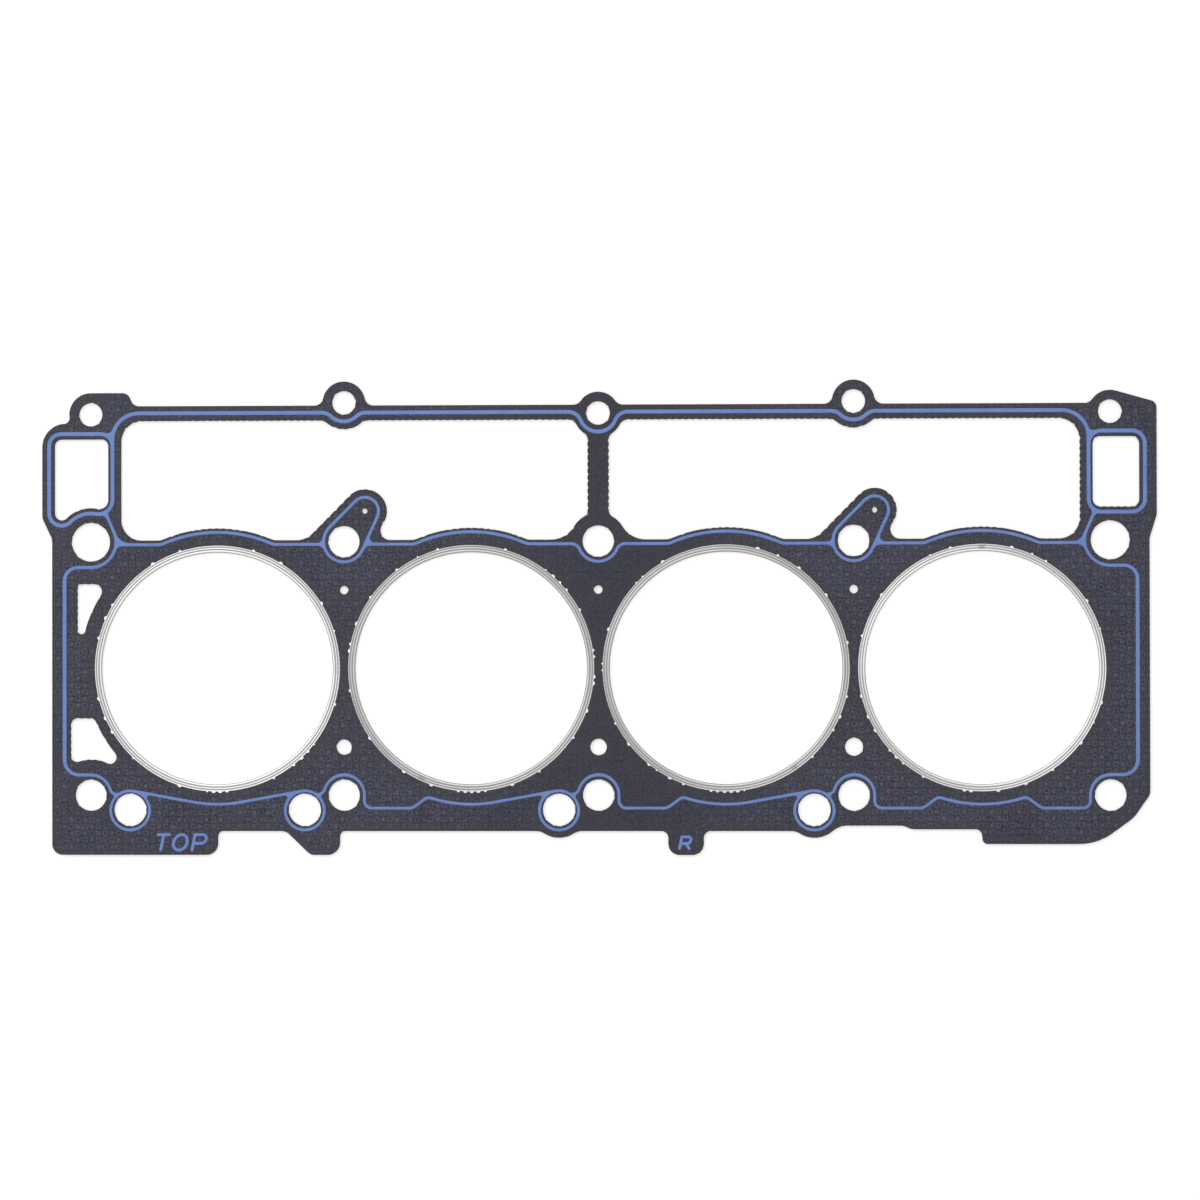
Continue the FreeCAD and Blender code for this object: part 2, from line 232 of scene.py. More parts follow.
# %% [markdown]
# ## The facing
#
# The facing is dark blue-grey fibre board. The tangs of the core mark it in a lattice that
# is nearly square. At every other node a small pale circle shows where a tang is clinched.
# The nodes between carry a broader pale ring with a dark middle, where a tang was pushed
# away. Near the middle of the sheet the marks are faint. The rows rise a little to the
# right, because the strip lay slightly askew under the die. Along a cut the rubbery coating
# is torn and browner. The lattice is read from Object coordinates, so it runs through the
# whole sheet without a seam, as it does when the parts are cut from one long strip.

# %% Lattice of the tangs
tang_pitch = np.array((3.033, 3.004))
tang_shift = np.array((1.30, -1.19))
tang_slope = 0.0016
tang_sway = 0.8
calm_middle = 180.0
calm_half = 60.0


def lattice_offset(place, axis):
    """Distance in mm to the nearest lattice line across an axis, and the line's number.

    Place over pitch counts the lines. Its nearest whole number is the line, and what is
    left over, times the pitch, is the distance.
    """
    pitch = float(tang_pitch[axis])
    steps = place / (pitch * MM) - float(tang_shift[axis]) / pitch
    number = steps.math("ROUND")
    return (steps - number) * pitch, number


def ring_mask(distance, radius, half_width):
    """1 on a circle of that radius, falling to 0 at half_width either side of it."""
    return (1.0 - abs(distance - radius) / half_width).clamp()


# %% [markdown]
# The colour is laid in layers over the fibre's own grain. Each layer has a mask, worked out
# below, and a weight and a colour, which stand in one table so that they can be tuned
# against each other.

# %% Layers of the facing
fibre_dark = (0.018, 0.019, 0.034, 1.0)
fibre_pale = (0.070, 0.071, 0.109, 1.0)
facing_layers = {
    "calm": (0.45, (0.026, 0.027, 0.036, 1.0)),
    "hollow": (0.60, (0.016, 0.017, 0.028, 1.0)),
    "brim": (0.88, (0.130, 0.133, 0.155, 1.0)),
    "clinch": (0.82, (0.190, 0.194, 0.215, 1.0)),
    "near_cut": (0.55, (0.052, 0.048, 0.053, 1.0)),
    "torn": (1.00, (0.062, 0.050, 0.040, 1.0)),
}
clinch_r, clinch_half = 0.58, 0.22
brim_r, brim_half = 1.02, 0.26
hollow_r = 0.95
faint_mark = 0.15
faint_share = 0.25
boxy_scale = 0.55
grain_scale = 1100.0
tone_middle = 0.52
grain_gain = 4.6
cloud_gain = 0.7


def facing_finish():
    """Dark fibre facing with the marks of the tangs, brown along the cuts.

    The offsets to the nearest column and row give a round distance, the root of the sum of
    their squares, and a boxy one, about half way from there to the larger offset. Clinches
    sit where column plus row is even, brims and hollows where it is odd.
    """
    finish = Finish(bpy.data.materials.new("pressed_facing"))
    place = finish.node("TexCoord", output="Object")
    sway = finish.noise(place, 420.0, 1.0)
    axes = finish.node("SeparateXYZ", None, {0: place})
    x_mm = axes.out("X") / MM
    stray = (sway - 0.5) * (tang_sway * MM)
    dx, column = lattice_offset(axes.out("X") + stray, 0)
    dy, row = lattice_offset(axes.out("Y") - axes.out("X") * tang_slope - stray, 1)
    distance = (dx * dx + dy * dy).math("SQRT")
    boxy = (distance + abs(dx).math("MAXIMUM", abs(dy))) * boxy_scale
    odd = (column + row).math("FLOORED_MODULO", 2.0)
    far = (abs(x_mm - calm_middle) / calm_half - faint_share).clamp()
    strength = faint_mark + (1 - faint_mark) * far
    patchy = finish.noise(place, 300.0, 2.0)
    broken = (patchy * 3.0 - 0.9).clamp()
    clinch = ring_mask(distance, clinch_r, clinch_half) * (1.0 - odd) * strength
    brim = ring_mask(boxy, brim_r, brim_half) * odd * strength
    hollow = (1.0 - distance / hollow_r).clamp() * odd * strength
    grain = finish.noise(place, grain_scale, 4.0, 0.75)
    cloud = finish.noise(place, 34.0, 2.0)
    tone = (tone_middle + (grain - 0.5) * grain_gain + (cloud - 0.5) * cloud_gain).clamp()
    masks = {
        "calm": 1.0 - strength,
        "hollow": hollow,
        "brim": brim * (0.35 + 0.65 * broken),
        "clinch": clinch * (0.25 + broken),
        "near_cut": finish.mark("near_cut"),
        "torn": finish.mark("rim") * (0.35 + 0.65 * finish.noise(place, 900.0, 2.0)),
    }
    body = finish.blend(tone, fibre_dark, fibre_pale)
    for layer, (weight, colour) in facing_layers.items():
        body = finish.blend(masks[layer] * weight, body, colour)
    relief = clinch * 0.35 - hollow * 0.5 + grain * 0.35 + patchy * 0.25
    bump = finish.node("Bump", None, {"Strength": 0.35, "Distance": 0.0001, "Height": relief})
    shader = finish.node("BsdfPrincipled", None, {
        "Base Color": body,
        "Roughness": 0.52 + 0.16 * grain + 0.12 * finish.mark("rim"),
        "Specular IOR Level": 0.28,
        "Normal": bump,
    })
    return finish.close(shader)


facing = facing_finish()
print("facing lattice pitch %.3f by %.3f mm" % tuple(tang_pitch))

# %% [markdown]
# ## Outline tools
#
# Both the sheet and the bead are flat shapes with many holes. Such a shape could be built
# face by face, but it is simpler to keep only its outline and let a Delaunay triangulation
# fill it. That fills the holes and the bays too, so each triangle is then tested with the
# even-odd rule: a point is inside if a ray to the right crosses the outline an odd number
# of times.


# %% Filling an outline
strip_size = 400


def is_inside(points, starts, ends):
    """Even-odd rule for many points at once, taken in strips of like height."""
    result = np.zeros(len(points), bool)
    low = np.minimum(starts[:, 1], ends[:, 1])
    high = np.maximum(starts[:, 1], ends[:, 1])
    by_height = np.argsort(points[:, 1])
    for strip in np.array_split(by_height, len(points) // strip_size + 1):
        x, y = points[strip, 0][:, None], points[strip, 1][:, None]
        near = (low <= y.max()) & (high >= y.min())
        a, b = starts[near], ends[near]
        spans = (a[:, 1] > y) != (b[:, 1] > y)
        rise = np.where(a[:, 1] == b[:, 1], 1.0, b[:, 1] - a[:, 1])
        crossing = a[:, 0] + (y - a[:, 1]) * (b[:, 0] - a[:, 0]) / rise
        result[strip] = (spans & (crossing > x)).sum(1) % 2 == 1
    return result


def fill(points, edges):
    """Triangles between the points that keep the edges and lie inside them, upwards."""
    placed, _, faces, *_ = delaunay_2d_cdt(points.tolist(), edges.tolist(), [], 0, 1e-7, False)
    placed = np.array(placed)
    faces = np.array(faces)
    print("  filled: %d points given, %d kept" % (len(points), len(placed)))
    middles = placed[faces].mean(1)
    faces = faces[is_inside(middles, points[edges[:, 0]], points[edges[:, 1]])]
    a, b, c = placed[faces[:, 0]], placed[faces[:, 1]], placed[faces[:, 2]]
    ab, ac = b - a, c - a
    turned = ab[:, 0] * ac[:, 1] < ab[:, 1] * ac[:, 0]
    faces[turned] = faces[turned][:, ::-1]
    return faces


# %% [markdown]
# ## The sheet's outline
#
# The frame's own mesh has the right outline, but with long straight chords on its arcs.
# The edge of its top face is taken and rounded again: each chord becomes a cubic whose ends
# follow the mean direction of the neighbouring chords, weighted by their lengths, which on a
# circle gives the circle back. The few plain corners are rounded by a little smoothing.

# %% Edge of the top face
face_depth = 0.01
edge_step = 0.50
corner_turn = 0.30
corner_rounds = 14
corner_reach = 2.2
corner_flat = 0.6
corner_pull = 0.5


def top_outline(node):
    """Start and end of each edge round the node's top face, with the sheet on the left."""
    mesh = frame["nodes"][node].data
    corners = np.empty(len(mesh.vertices) * 3)
    mesh.vertices.foreach_get("co", corners)
    corners = corners.reshape(-1, 3) / MM
    mesh.calc_loop_triangles()
    triangles = np.empty(len(mesh.loop_triangles) * 3, int)
    mesh.loop_triangles.foreach_get("vertices", triangles)
    triangles = triangles.reshape(-1, 3)
    triangles = triangles[(corners[triangles, 2] > sheet_top - face_depth).all(1)]
    keys = np.round(corners[triangles.ravel(), :2], 3)
    places, numbers = np.unique(keys, axis=0, return_inverse=True)
    triangles = numbers.reshape(-1, 3)
    sides = triangles[:, [0, 1, 1, 2, 2, 0]].reshape(-1, 2)
    codes = sides[:, 0] * len(places) + sides[:, 1]
    mirrored = sides[:, 1] * len(places) + sides[:, 0]
    return places, sides[~np.isin(codes, mirrored)]


def side_angle(a, b):
    """Angle from direction a to direction b, positive to the left."""
    cross = a[:, 0] * b[:, 1] - a[:, 1] * b[:, 0]
    return np.arctan2(cross, (a * b).sum(1))


def round_chords(places, edges):
    """Points every edge_step along the smoothed outline, and the number of each next one.

    A chord of length L whose curve leaves it at angle p and meets its end at angle q is
    moved sideways by L (p t (1 - t)^2 - q t^2 (1 - t)) at the share t of its length.
    """
    next_edge = np.empty(len(edges), int)
    next_edge[np.argsort(edges[:, 1])] = np.argsort(edges[:, 0])
    chord = places[edges[:, 1]] - places[edges[:, 0]]
    length = np.hypot(chord[:, 0], chord[:, 1])
    turn = side_angle(chord, chord[next_edge])
    share = length[next_edge] / (length + length[next_edge])
    is_corner = np.abs(turn) > corner_turn
    arrive = np.where(is_corner, 0.0, turn * share)
    leave = np.empty(len(edges))
    leave[next_edge] = np.where(is_corner, 0.0, turn * (share - 1))
    count = np.maximum(1, np.rint(length / edge_step)).astype(int)
    owner = np.repeat(np.arange(len(edges)), count)
    first = np.concatenate([[0], np.cumsum(count)[:-1]])
    t = (np.arange(len(owner)) - first[owner]) / count[owner]
    bulge = length[owner] * (leave[owner] * t * (1 - t) ** 2 - arrive[owner] * t ** 2 * (1 - t))
    along = chord[owner] / length[owner][:, None]
    across = np.stack([-along[:, 1], along[:, 0]], 1)
    points = places[edges[owner, 0]] + chord[owner] * t[:, None] + across * bulge[:, None]
    following = np.arange(len(owner)) + 1
    last = first + count - 1
    following[last] = first[next_edge]
    sharp = places[edges[is_corner, 1]]
    return points, following, sharp


def nearest(points, others):
    """Distance from each point to the nearest of the others."""
    return np.hypot(*(points[:, None] - others[None]).transpose(2, 0, 1)).min(1)


def soften_corners(points, following, sharp):
    """Round the plain corners by moving points near them towards their neighbours.

    Each round moves a point by its weight of the way to the middle of its neighbours. The
    weight falls with the distance from the corner. Also returns the inward normals.
    """
    previous = np.empty(len(following), int)
    previous[following] = np.arange(len(following))
    away = nearest(points, sharp)
    weight = (np.clip(1 + corner_flat - away / corner_reach, 0, 1) * corner_pull)[:, None]
    for _ in range(corner_rounds):
        middle = (points[following] + points[previous]) / 2
        points = points + (middle - points) * weight
    along = points[following] - points[previous]
    along /= np.hypot(along[:, 0], along[:, 1])[:, None]
    return points, np.stack([-along[:, 1], along[:, 0]], 1)


places, outline_edges = top_outline("composite_sheet")
edge_points, following, sharp = round_chords(places, outline_edges)
edge_points, inward = soften_corners(edge_points, following, sharp)
edge_length = np.hypot(*(edge_points[following] - edge_points).T).sum()
print("outline: %d chords, %d points, %.0f mm, %d corners" % (
    len(outline_edges), len(edge_points), edge_length, len(sharp)))

# %% [markdown]
# ## The nibbled cut
#
# Where the die cuts through a row of tang holes, the edge steps back into each hole and
# looks nibbled. So each point of the outline looks up its lattice node and moves inwards to
# the far side of the hole there. The photograph shows how deep the bites are: deep at the
# bores, middling round the windows, slight in the bolt holes and hardly any on the outside.

# %% Bites of the die
window_hole_r = 0.70
bore_hole_r = 0.75
outer_bite = 0.04
window_bite = 0.34
flat_share = 0.55
hole_bite = 0.18
bore_bite = 0.60
bore_zone = 1.0
bore_skip = 0.1
doublings = 14
hole_steps = 150


def to_lattice(points):
    """Vector from each point to its nearest lattice node."""
    steps = (points - points[:, :1] * (0, tang_slope) - tang_shift) / tang_pitch
    return (np.rint(steps) - steps) * tang_pitch


def loop_labels(points, following):
    """One number to each closed loop. Each pass doubles how far a label travels."""
    label = np.arange(len(points))
    ahead = following
    for _ in range(doublings):
        label = np.minimum(label, label[ahead])
        ahead = ahead[ahead]
    return label


def nibble(points, inward, following):
    """How far the edge steps back: out of the tang hole that it cuts, up to a limit.

    With the hole's centre h ahead along the inward normal and s aside, the far side of a
    hole of radius r lies h + sqrt(r^2 - s^2) ahead. At a bore the ring covers the holes
    whose centre isn't at least bore_skip ahead. A loop of few points is a round hole. On a
    window the bite falls to flat_share of its limit where the edge runs along the rows.
    """
    centre = to_lattice(points)
    ahead = (centre * inward).sum(1)
    aside = centre[:, 0] * inward[:, 1] - centre[:, 1] * inward[:, 0]
    from_bore = np.min([np.hypot(points[:, 0] - x, points[:, 1]) for x in bores], 0)
    at_bore = from_bore < ring_outer_r + bore_zone
    hole_r = np.where(at_bore, bore_hole_r, window_hole_r)
    half_chord = np.sqrt(np.maximum(hole_r ** 2 - aside ** 2, 0))
    opened = (np.hypot(ahead, aside) < hole_r) & (~at_bore | (ahead > bore_skip))
    cut = np.where(opened, ahead + half_chord, 0)
    label = loop_labels(points, following)
    small = np.bincount(label)[label] < hole_steps
    outer = label == label[np.argmin(points[:, 0])]
    window = window_bite * (flat_share + (1 - flat_share) * inward[:, 0] ** 2)
    limit = np.where(outer, outer_bite, np.where(small, hole_bite, window))
    return np.minimum(cut, np.where(at_bore, bore_bite, limit))


bite = nibble(edge_points, inward, following)
cut_points = edge_points + inward * bite[:, None]
print("nibbled %d edge points" % (bite > 0).sum())

# %% [markdown]
# ## The sheet
#
# The die rolls the edge down a little, so the top face ends in a narrow slope. Inside it
# the face is flat but for a shallow dent at each tang, six faces each: they are repeated
# thousands of times, so they stay coarse, and the finest marks are left to the material.
# The under side is the same face turned over, because the tangs come through both ways.
# Two marks tell the finish where the slope is and how near a cut each point lies.

# %% Dents and faces
rim_width = 0.30
rim_drop = 0.09
dent_sides = 6
dent_r = 0.62
dent_depth = 0.045
dent_room = 1.35
calm_dent = 0.45
calm_share = 0.4
cut_reach = 5.0


def dent_centres(points, edges):
    """Lattice nodes inside the outline and clear of its edge, and how far they are from it."""
    low, high = points.min(0), points.max(0)
    counts = np.ceil((high - low) / tang_pitch).astype(int) + 1
    start = np.floor((low - tang_shift) / tang_pitch)
    column, row = np.meshgrid(np.arange(counts[0]), np.arange(counts[1]), indexing="ij")
    nodes = (start + np.stack([column.ravel(), row.ravel()], 1)) * tang_pitch + tang_shift
    nodes += nodes[:, :1] * (0, tang_slope)
    nodes = nodes[is_inside(nodes, points[edges[:, 0]], points[edges[:, 1]])]
    parts = np.array_split(nodes, len(nodes) // strip_size + 1)
    away = np.concatenate([nearest(part, points) for part in parts])
    return nodes[away > dent_room], away[away > dent_room]


def sheet_piece():
    """The sheet between its two dented faces, joined by the wall of the cut.

    Along a nearly straight edge the fill can keep a sliver that lies outside. It runs
    along the edge backwards, and so it is found.
    """
    count = len(cut_points)
    rim_edges = np.stack([np.arange(count), following], 1)
    dents, away = dent_centres(cut_points, rim_edges)
    angle = np.arange(dent_sides) * 2 * np.pi / dent_sides
    circle = np.stack([np.cos(angle), np.sin(angle)], 1) * dent_r
    brims = (dents[:, None] + circle[None]).reshape(-1, 2)
    shelf = cut_points + inward * rim_width
    flat_points = np.concatenate([cut_points, shelf, brims, dents])
    faces = fill(flat_points, rim_edges)
    codes = faces * len(flat_points) + np.roll(faces, -1, 1)
    backwards = rim_edges[:, 1] * len(flat_points) + rim_edges[:, 0]
    slivers = np.isin(codes, backwards).any(1)
    print("%d slivers outside the edge left out" % slivers.sum())
    faces = faces[~slivers]
    far = np.clip(np.abs(dents[:, 0] - calm_middle) / calm_half - calm_share, 0, 1)
    fade = calm_dent + (1 - calm_dent) * far
    drop = np.concatenate([
        np.full(count, rim_drop),
        np.zeros(count + len(brims)),
        dent_depth * fade,
    ])
    top = np.column_stack([flat_points, sheet_top - drop])
    bottom = np.column_stack([flat_points, sheet_low + drop])
    below = len(top)
    wall = np.concatenate([
        np.stack([rim_edges[:, 0], rim_edges[:, 0] + below, rim_edges[:, 1]], 1),
        np.stack([rim_edges[:, 1], rim_edges[:, 0] + below, rim_edges[:, 1] + below], 1),
    ])
    level = (drop[faces] == 0).all(1)
    rim = np.tile(np.concatenate([np.ones(count), np.zeros(len(flat_points) - count)]), 2)
    fading = np.clip(1 - away / cut_reach, 0, 1)
    near = np.concatenate([np.ones(count * 2), np.repeat(fading, dent_sides), fading])
    points = np.concatenate([top, bottom])
    all_faces = np.concatenate([faces, faces[:, ::-1] + below, wall])
    flat = np.concatenate([level, level, np.zeros(len(wall), bool)])
    print("%d dents on each face" % len(dents))
    marks = {"rim": rim, "near_cut": np.tile(near, 2)}
    return make_piece("gasket_sheet", points, all_faces, facing, flat, **marks)


sheet = sheet_piece()
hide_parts("composite_sheet")
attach(sheet, "root")

# %% [markdown]
# ## The fire rings
#
# Each ring is turned from stainless wire and has three crests with two grooves between
# them. Its flange, which the facings grip, shows in the bites of the cut round it, with a
# painted glint: a pale grey colour. A turned part is a profile swept round an axis, so one
# grid does it: radius and height along the section, angle round the bore. The finish
# follows the lathe: fine lines of constant radius, with painted highlight on the crests and
# painted shade in the grooves. The two inner rings are duller than the outer ones, and all
# but the first show the grey weld where the wire was closed. The table of looks gives each
# ring's greys on crest and groove, which are painted highlight and painted shade, and the
# angle of its weld in degrees.

# %% Ring section and finish
crest_first = 0.85
crest_pitch = 1.10
groove_depth = 0.22
bevel_drop = 0.35
ring_steps = 720
top_steps = 30
ring_edge = 0.10
flange_reach = 0.90
flange_low = 0.35
flange_top = 1.41
seam_half = math.radians(2.0)
seam_reach = 0.9
relief_depth = 0.3
wall_shine = 0.9
lathe_round = 1.5
lathe_fine = 9.0
weld_grey = 0.30
weld_share = 0.75
# Grey of the flange's painted glint.
flange_glint_grey = 0.88
# light is the crest's grey, a painted highlight; dark is the groove's grey, a painted shade.
ring_looks = (
    {"light": 0.83, "dark": 0.33, "seam": None},
    {"light": 0.60, "dark": 0.30, "seam": -114.4},
    {"light": 0.60, "dark": 0.30, "seam": -55.6},
    {"light": 0.83, "dark": 0.33, "seam": 90.0},
)


def crest_height(radius):
    """Height of the ring's upper side: a cosine of three crests, bevelled at the bore.

    The wave is groove_depth deep from crest to groove. Inside the first crest the side
    falls as a parabola, by bevel_drop at the bore.
    """
    waves = (radius - bore_r - crest_first) / crest_pitch
    wave = groove_depth * (0.5 - 0.5 * np.cos(2 * np.pi * np.maximum(waves, 0)))
    bevel = np.clip((bore_r + crest_first - radius) / crest_first, 0, 1) ** 2 * bevel_drop
    return ring_top - wave - bevel


def ring_section():
    """Closed section, anticlockwise with radius to the right: underside, outer wall, top.

    The outer wall carries the flange that the facings grip. It shows in the nibbled joint.
    """
    outer = ring_outer_r
    radius = np.linspace(outer - ring_edge / 3, bore_r + ring_edge / 3, top_steps)
    upper = np.stack([radius, crest_height(radius)], 1)
    lower = np.array([
        (bore_r, upper[-1, 1] - ring_edge),
        (bore_r, ring_low + ring_edge),
        (bore_r + ring_edge, ring_low),
        (outer - ring_edge, ring_low),
        (outer, ring_low + ring_edge),
        (outer, flange_low),
        (outer + flange_reach, flange_low),
        (outer + flange_reach, flange_top),
        (outer, flange_top),
        (outer, upper[0, 1] - ring_edge),
    ])
    return np.concatenate([lower, upper])


def ring_finish(name, light, dark):
    """Turned steel: pale crests and dim grooves, which are painted highlight and painted shade,
    and fine lines of constant radius.

    The shade runs from 0, the groove's grey, to 1, the crest's. It is the crest mark times
    a weight that the lathe lines and a slow drift vary.
    """
    finish = Finish(bpy.data.materials.new(name))
    lathe = finish.mark("lathe", "Vector")
    crest = finish.mark("crest")
    lines = finish.noise(lathe, 1.0, 2.0, 0.6)
    drift = finish.noise(finish.node("TexCoord", output="Object"), 60.0, 2.0)
    # Painted highlight and painted shade: the crest mark lifts the colour on crests and lowers
    # it in grooves.
    shade = (crest * (0.75 + 0.5 * (lines - 0.5)) + 0.25 * crest * drift * 1.6).clamp()
    colour = finish.blend(shade, grey(dark, 0.01), grey(light))
    colour = finish.blend(finish.mark("seam") * weld_share, colour, grey(weld_grey, -0.02))
    # Painted glint: the flange is coloured pale grey, so it gleams in the bites of the cut.
    colour = finish.blend(finish.mark("flange"), colour, grey(flange_glint_grey))
    bump = finish.node("Bump", None, {"Strength": 0.25, "Distance": 0.00003, "Height": lines})
    shader = finish.node("BsdfPrincipled", None, {
        "Base Color": colour,
        "Metallic": 1.0,
        "Roughness": 0.26 + 0.16 * lines + 0.25 * (1.0 - crest),
        "Normal": bump,
    })
    return finish.close(shader)


# %% Turning the rings
def ring_piece(number, look):
    """One ring: section times angle, with marks for crests, lathe lines, weld and flange.

    The lathe mark turns slowly with the angle and fast with the radius, so that a noise
    read from it is drawn out into lines round the bore.
    """
    section = ring_section()
    angle = np.arange(ring_steps) * 2 * np.pi / ring_steps
    radius = np.broadcast_to(section[None, :, 0], (ring_steps, len(section)))
    height = np.broadcast_to(section[None, :, 1], (ring_steps, len(section)))
    turn = np.broadcast_to(angle[:, None], radius.shape)
    points = np.stack([bores[number] + radius * np.cos(turn), radius * np.sin(turn), height], 2)
    index = np.arange(radius.size).reshape(radius.shape)
    onwards = np.roll(index, -1, 0)
    quads = np.stack([index, onwards, np.roll(onwards, -1, 1), np.roll(index, -1, 1)], 2)
    # The crest mark sets the painted highlight: 1 on a crest, 0 in a groove, wall_shine on the
    # walls.
    flank = (ring_top - height) / groove_depth
    crest = np.where(height > ring_top - relief_depth, np.clip(1 - flank, 0, 1), wall_shine)
    circle = np.stack([np.cos(turn), np.sin(turn)], 2)
    lathe = np.concatenate([circle * lathe_round, radius[..., None] * lathe_fine], 2)
    seam = np.zeros(radius.shape)
    if look["seam"] is not None:
        apart = (turn - math.radians(look["seam"]) + np.pi) % (2 * np.pi) - np.pi
        band = np.abs(radius - bore_r - crest_first - crest_pitch) < seam_reach
        seam = np.clip(2 - 2 * np.abs(apart) / seam_half, 0, 1) * band
    name = "fire_ring_%d" % (number + 1)
    finish = ring_finish("turned_steel_%d" % (number + 1), look["light"], look["dark"])
    flange = (radius >= ring_outer_r) & (height <= flange_top)
    # The flange takes the full crest mark, which goes with its painted glint.
    marks = {"crest": np.maximum(crest, flange).ravel(), "lathe": lathe.reshape(-1, 3),
             "seam": seam.ravel(), "flange": flange.ravel().astype(float)}
    sharp = (flange & np.roll(flange, -1, 1)).ravel()
    ring = make_piece(name, points.reshape(-1, 3), quads.reshape(-1, 4), finish, sharp, **marks)
    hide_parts("fire_rings")
    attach(ring, "root")


for number, look in enumerate(ring_looks):
    ring_piece(number, look)

# %% [markdown]
# ## Routes of the printed bead
#
# A screen prints the bead as bands of nearly one width that run round the holes. Each route
# is a belt laid round circles: a stop is (x, y, turn), and the belt turns left round the
# centre with that radius, or right where the radius is negative. Common tangents join the
# stops, so a route needs only the circles that it really goes round.


# %% Belts
belt_step = 0.2
whole_turn = 2 * math.pi


def beside(centre_y, distance, level):
    """Sideways reach to a point at height level that is distance from a centre."""
    return math.sqrt(distance ** 2 - (level - centre_y) ** 2)


def between(a, a_distance, b, b_distance, side):
    """Point at given distances from two centres, left (1) or right (-1) of a to b."""
    span = math.hypot(b[0] - a[0], b[1] - a[1])
    along = (a_distance ** 2 - b_distance ** 2 + span ** 2) / (2 * span)
    across = side * math.sqrt(a_distance ** 2 - along ** 2)
    ux, uy = (b[0] - a[0]) / span, (b[1] - a[1]) / span
    return a[0] + along * ux - across * uy, a[1] + along * uy + across * ux


def heading(a, b):
    """Direction of the common tangent that leaves stop a and meets stop b."""
    span = math.hypot(b[0] - a[0], b[1] - a[1])
    lean = max(-1.0, min(1.0, (a[2] - b[2]) / span))
    return math.atan2(b[1] - a[1], b[0] - a[0]) + math.asin(lean)


def lean_on(a, b, turn, level):
    """X of a circle at height level that touches the run from stop a to stop b."""
    angle = heading(a, b)
    foot_x = b[0] + b[2] * math.sin(angle)
    foot_y = b[1] - b[2] * math.cos(angle)
    return foot_x + ((level - foot_y) * math.cos(angle) - turn) / math.sin(angle)


def belt(stops, closed=True):
    """Points every belt_step along a belt.

    A bend turns from the direction that arrives to the one that leaves, to the left for a
    positive radius and to the right for a negative one.
    """
    count = len(stops)
    runs = count if closed else count - 1
    angles = [heading(stops[i], stops[(i + 1) % count]) for i in range(runs)]
    bends = []
    for i, (x, y, turn) in enumerate(stops):
        arriving = angles[i - 1] if closed else angles[max(i - 1, 0)]
        swing = (angles[min(i, runs - 1)] - arriving) % whole_turn
        if swing > whole_turn - 1e-6:
            swing = 0.0
        if turn < 0 and swing:
            swing -= whole_turn
        angle = arriving + swing * np.linspace(0, 1, 2 + int(abs(turn * swing) / belt_step))
        bends.append(np.stack([x + turn * np.sin(angle), y - turn * np.cos(angle)], 1))
    corners = np.concatenate(bends + [bends[0][:1]] if closed else bends)
    lengths = np.concatenate([[0], np.cumsum(np.hypot(*np.diff(corners, axis=0).T))])
    even = np.linspace(0, lengths[-1], 1 + int(lengths[-1] / belt_step))
    return np.stack([np.interp(even, lengths, corners[:, k]) for k in (0, 1)], 1)


# %% Sizes of the bead
bead_width = 1.32
deck_width = 1.42
post_width = 1.80
deck_y = 55.25
deck_hump_r = 60.7
hump_fillet = 6.0
bolt_r = 9.05
bolt_fillet = 4.0
dowel_r = 11.3
ear_aside = 9.35
ear_rise = 13.55
ear_r = 6.15
rail_y = 113.9
rail_bolt_r = 8.35
rail_fillet = 6.0
rail_corner_r = 11.8
drain_aside = 17.6
drain_drop = 6.75
drain_r = 8.7
drain_fillet = 3.2
skirt_y = -62.20
skirt_fillet = 3.3
skirt_bore_r = 60.45
step_start = (27.8, 5.0)
step_peak = (18.9, 3.0)
end_left_x = -68.4
end_right_x = 408.5
end_top_r = 6.0
end_bottom_r = 6.6
left_post_x = -46.9
right_post_x = 387.1
vent_top_y = 104.75
vent_corner_r = 5.4
left_vent_x = -75.3
left_vent_lobe_r = 5.6
left_vent_root_r = 6.4
vent_pad_r = 12.8
right_vent_x = 411.9
right_vent_bottom_y = 68.85
right_vent_corner_r = 5.7
root_angle = math.radians(60)
root_start = 0.02
left_root = {"fillet": 7.5, "dip": 3.0}
right_root = {"fillet": 5.0, "dip": 4.5}
drain_y = -bolt_row - drain_drop
drains = [columns[0] + drain_aside] + [x - drain_aside for x in columns[1:-1]]
first, last = columns[0], columns[-1]


# %% Routes of the lower side
def drain_to_bolt(drain_x, column):
    """Over a drain, then over its bolt and down to the skirt line, rightwards."""
    drain, bolt = (drain_x, drain_y), (column, -bolt_row)
    nook = between(drain, drain_r + drain_fillet, bolt, bolt_r + drain_fillet, 1)
    return [
        (*drain, -drain_r),
        (*nook, drain_fillet),
        (*bolt, -bolt_r),
        (column + bolt_r + skirt_fillet, skirt_y + skirt_fillet, skirt_fillet),
    ]


def step_up(bore, side):
    """Step between the skirt line and the arc under a bore."""
    peak_y = -beside(0, skirt_bore_r + step_peak[1], step_peak[0])
    return [
        (bore - side * step_start[0], skirt_y + step_start[1], step_start[1]),
        (bore - side * step_peak[0], peak_y, -step_peak[1]),
    ]


